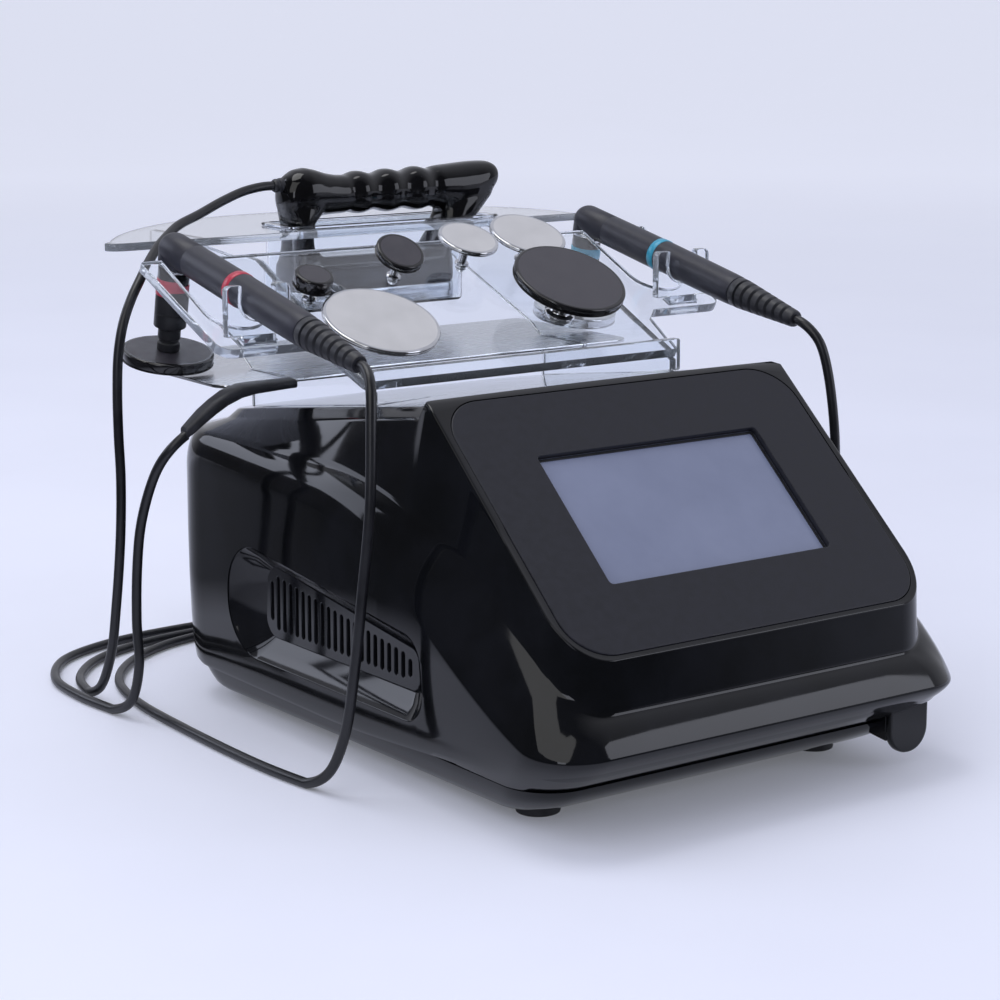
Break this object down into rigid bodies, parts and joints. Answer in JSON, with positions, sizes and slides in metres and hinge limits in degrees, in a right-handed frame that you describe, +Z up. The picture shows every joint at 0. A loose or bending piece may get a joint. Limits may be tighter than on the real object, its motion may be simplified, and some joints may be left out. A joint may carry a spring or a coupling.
{
  "type": "facial toning device",
  "caption": "Table-top radio-frequency facial toning unit with a sloping touch screen, a clear roof stand, corded handpieces, an iron applicator, spare electrodes and a return plate.",
  "frame": {"origin": "on the table, under the middle of the outline of the unit and its stand, without the cords", "axes": "+Z up, +X to the right of a person facing the screen, +Y to the back; the screen faces -Y"},
  "size_m": [0.4098, 0.601, 0.3237],
  "materials": {
    "gloss_black": "high-gloss injection-moulded black plastic",
    "grille_black": "glossy black moulded vent",
    "bezel_charcoal": "fine matte charcoal",
    "screen_grey": "unlit touch screen, semi-gloss",
    "panel_black": "textured black plastic",
    "sheet_metal": "zinc-plated sheet",
    "circuit_board": "solder-masked circuit board",
    "aluminium_fins": "extruded aluminium",
    "foot_rubber": "matte rubber",
    "screw_steel": "plated steel",
    "clear_acrylic": "polished clear acrylic sheet",
    "grip_satin": "satin soft-touch plastic",
    "band_red": "crimson ring",
    "band_teal": "teal ring",
    "relief_rubber": "ribbed moulded rubber",
    "electrode_black": "insulated black electrode, matte face and glossy rim",
    "electrode_steel": "polished stainless steel",
    "iron_gloss": "high-gloss black moulding",
    "sole_steel": "polished steel sole",
    "plate_steel": "stainless sheet",
    "plug_black": "moulded plug",
    "cord_black": "black cord jacket"
  },
  "bodies": {
    "root": {"base_shell": "gloss_black", "top_shell": "gloss_black", "bezel_panel": "bezel_charcoal", "touch_screen": "screen_grey", "vent_grille_left": "grille_black", "vent_grille_right": "grille_black", "rear_panel": "panel_black", "output_sockets": "panel_black", "mains_inlet": "panel_black", "switch_frame": "panel_black", "cooling_fan": "panel_black", "power_supply": "sheet_metal", "rf_board": "circuit_board", "heat_sink": "aluminium_fins", "rubber_feet": "foot_rubber", "shell_screws": "screw_steel", "front_hook": "gloss_black", "stand_tray": "clear_acrylic", "stand_rail": "clear_acrylic", "stand_cheeks": "clear_acrylic", "stand_shelf": "clear_acrylic", "iron_pocket": "clear_acrylic", "fork_left": "clear_acrylic", "fork_right": "clear_acrylic", "red_plug": "plug_black", "teal_plug": "plug_black", "iron_plug": "plug_black", "plate_plug": "plug_black", "red_cord": "cord_black", "teal_cord": "cord_black", "iron_cord": "cord_black", "plate_cord": "cord_black", "red_coil": "cord_black", "teal_coil": "cord_black", "iron_coil": "cord_black", "plate_coil": "cord_black"},
    "power_switch": {"power_switch": "panel_black"},
    "fan_rotor": {"fan_rotor": "panel_black"},
    "red_handpiece": {"red_grip": "grip_satin", "red_bands": "band_red", "red_neck": "grip_satin", "red_relief": "relief_rubber", "red_electrode": "electrode_black"},
    "teal_handpiece": {"teal_grip": "grip_satin", "teal_bands": "band_teal", "teal_neck": "grip_satin", "teal_relief": "relief_rubber", "teal_electrode": "electrode_steel"},
    "iron": {"iron_handle": "iron_gloss", "iron_sole": "sole_steel", "iron_relief": "relief_rubber"},
    "return_plate": {"return_plate": "plate_steel", "plate_boot": "relief_rubber"},
    "silver_large": {"silver_large": "electrode_steel"},
    "silver_medium": {"silver_medium": "electrode_steel"},
    "silver_small": {"silver_small": "electrode_steel"},
    "black_large": {"black_large": "electrode_black"},
    "black_small": {"black_small": "electrode_black"},
    "black_tiny": {"black_tiny": "electrode_black"}
  },
  "joints": [
    {"name": "power_switch_rock", "type": "hinge", "parent": "root", "child": "power_switch", "pos_m": [-0.012, 0.138, 0.107], "axis": [1, 0, 0], "range_deg": [-16, 0]},
    {"name": "fan_spin", "type": "hinge", "parent": "root", "child": "fan_rotor", "pos_m": [0.074, 0.13, 0.088], "axis": [0, 1, 0], "continuous": true},
    {"name": "red_handpiece_lift", "type": "slide", "parent": "root", "child": "red_handpiece", "axis": [0, 0, 1], "range_m": [0, 0.026]},
    {"name": "teal_handpiece_lift", "type": "slide", "parent": "root", "child": "teal_handpiece", "axis": [0, 0, 1], "range_m": [0, 0.026]},
    {"name": "iron_lift", "type": "slide", "parent": "root", "child": "iron", "axis": [0, 0, 1], "range_m": [0, 0.06]},
    {"name": "return_plate_slide", "type": "slide", "parent": "root", "child": "return_plate", "axis": [0, 1, 0], "range_m": [0, 0.12]},
    {"name": "silver_large_lift", "type": "slide", "parent": "root", "child": "silver_large", "axis": [0, -0.4305, 0.9026], "range_m": [0, 0.02]},
    {"name": "silver_medium_lift", "type": "slide", "parent": "root", "child": "silver_medium", "axis": [0, -0.4305, 0.9026], "range_m": [0, 0.02]},
    {"name": "silver_small_lift", "type": "slide", "parent": "root", "child": "silver_small", "axis": [0, -0.4305, 0.9026], "range_m": [0, 0.02]},
    {"name": "black_large_lift", "type": "slide", "parent": "root", "child": "black_large", "axis": [0, -0.4305, 0.9026], "range_m": [0, 0.02]},
    {"name": "black_small_lift", "type": "slide", "parent": "root", "child": "black_small", "axis": [0, -0.4305, 0.9026], "range_m": [0, 0.02]},
    {"name": "black_tiny_lift", "type": "slide", "parent": "root", "child": "black_tiny", "axis": [0, -0.4305, 0.9026], "range_m": [0, 0.02]}
  ]
}
